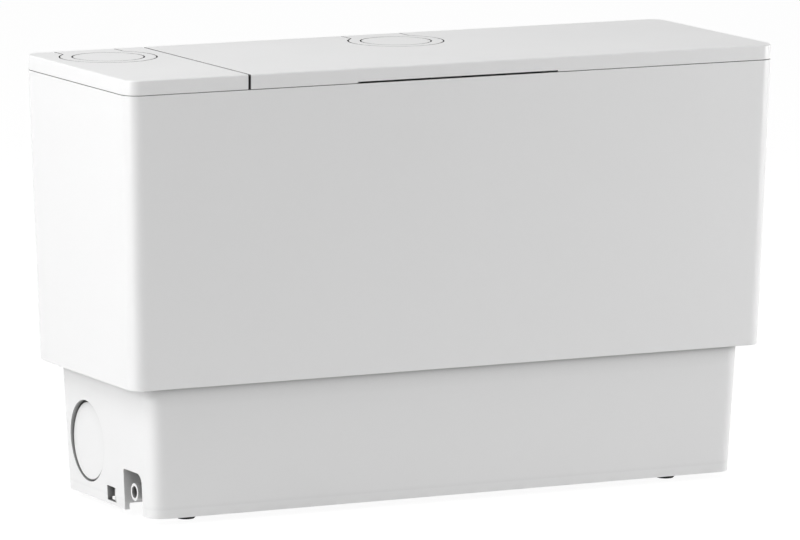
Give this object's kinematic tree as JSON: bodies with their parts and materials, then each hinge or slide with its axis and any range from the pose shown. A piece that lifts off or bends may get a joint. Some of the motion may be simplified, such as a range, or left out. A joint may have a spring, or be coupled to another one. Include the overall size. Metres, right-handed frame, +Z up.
{
  "type": "sewage lifting unit",
  "caption": "Compact box-shaped sewage lifting unit with macerator and pump: drafted casing on a narrower tank, lift-off lids with scored knock-outs, side plug and drain spout.",
  "frame": {"origin": "on the floor, under the middle of the unit's outline", "axes": "+Z up, +X along the length to the right seen from the front, front faces -Y"},
  "size_m": [0.5, 0.176, 0.31],
  "materials": {
    "white_gloss_plastic": "moulded white, satin gloss",
    "black_rubber": "matt moulded rubber",
    "grey_plastic": "matt moulded",
    "black_plastic": "matt moulded",
    "stainless_steel": "bright drawn",
    "cast_aluminium": "die cast",
    "lamination_steel": "stacked sheet, oiled",
    "copper_winding": "enamelled wire",
    "board_green": "solder mask"
  },
  "bodies": {
    "unit": {"tank": "white_gloss_plastic", "tank_gasket": "black_rubber", "tank_cover": "grey_plastic", "cover_screws": "stainless_steel", "upper_casing": "white_gloss_plastic", "casing_screws": "stainless_steel", "foot_front_left": "black_rubber", "foot_front_right": "black_rubber", "foot_back_left": "black_rubber", "foot_back_right": "black_rubber", "side_inlet_flap_pin": "stainless_steel", "wc_inlet_sleeve": "black_rubber", "top_inlet_port": "black_rubber", "top_inlet_clamp": "stainless_steel", "check_valve_body": "grey_plastic", "check_valve_pin": "stainless_steel", "discharge_outlet": "grey_plastic", "valve_screws": "stainless_steel", "discharge_pipe": "grey_plastic", "hose_clamps": "stainless_steel", "pump_volute": "black_plastic", "volute_cover": "black_plastic", "cutter_basket": "stainless_steel", "stator_core": "lamination_steel", "stator_windings": "copper_winding", "motor_housing": "cast_aluminium", "motor_end_cover": "cast_aluminium", "motor_screws": "stainless_steel", "lower_bearing": "stainless_steel", "upper_bearing": "stainless_steel", "shaft_seal": "black_rubber", "pressure_bell": "grey_plastic", "sensing_hose": "black_rubber", "level_switch": "black_plastic", "carbon_filter": "black_plastic", "control_box": "grey_plastic", "control_box_lid": "grey_plastic", "control_box_screws": "stainless_steel", "circuit_board": "board_green", "cable_gland": "black_plastic", "capacitor": "cast_aluminium", "capacitor_cradle": "black_plastic", "motor_lead": "black_rubber"},
    "rotor": {"motor_shaft": "stainless_steel", "rotor_core": "lamination_steel", "cutter_blade": "stainless_steel", "impeller": "black_plastic"},
    "small_lid_body": {"small_lid": "white_gloss_plastic"},
    "main_lid_body": {"main_lid": "white_gloss_plastic"},
    "side_plug_body": {"side_inlet_plug": "white_gloss_plastic", "side_inlet_seal": "black_rubber"},
    "side_flap_body": {"side_inlet_flap": "black_rubber"},
    "valve_flap_body": {"check_valve_flap": "black_rubber"}
  },
  "joints": [
    {"name": "rotor_spin", "type": "hinge", "parent": "unit", "child": "rotor", "pos_m": [0.095, 0, 0.2], "axis": [0, 0, 1], "continuous": true},
    {"name": "small_lid_lift", "type": "slide", "parent": "unit", "child": "small_lid_body", "axis": [0, 0, 1], "range_m": [0, 0.12]},
    {"name": "main_lid_lift", "type": "slide", "parent": "unit", "child": "main_lid_body", "axis": [0, 0, 1], "range_m": [0, 0.12]},
    {"name": "side_plug_pull", "type": "slide", "parent": "unit", "child": "side_plug_body", "axis": [-1, 0, 0], "range_m": [0, 0.045]},
    {"name": "side_flap_swing", "type": "hinge", "parent": "unit", "child": "side_flap_body", "pos_m": [-0.19969, 0.0318, 0.0789], "axis": [0, -1, 0], "range_deg": [0, 60]},
    {"name": "valve_flap_swing", "type": "hinge", "parent": "unit", "child": "valve_flap_body", "pos_m": [-0.1901, 0.0445, 0.2336], "axis": [0, 1, 0], "range_deg": [0, 60]}
  ]
}
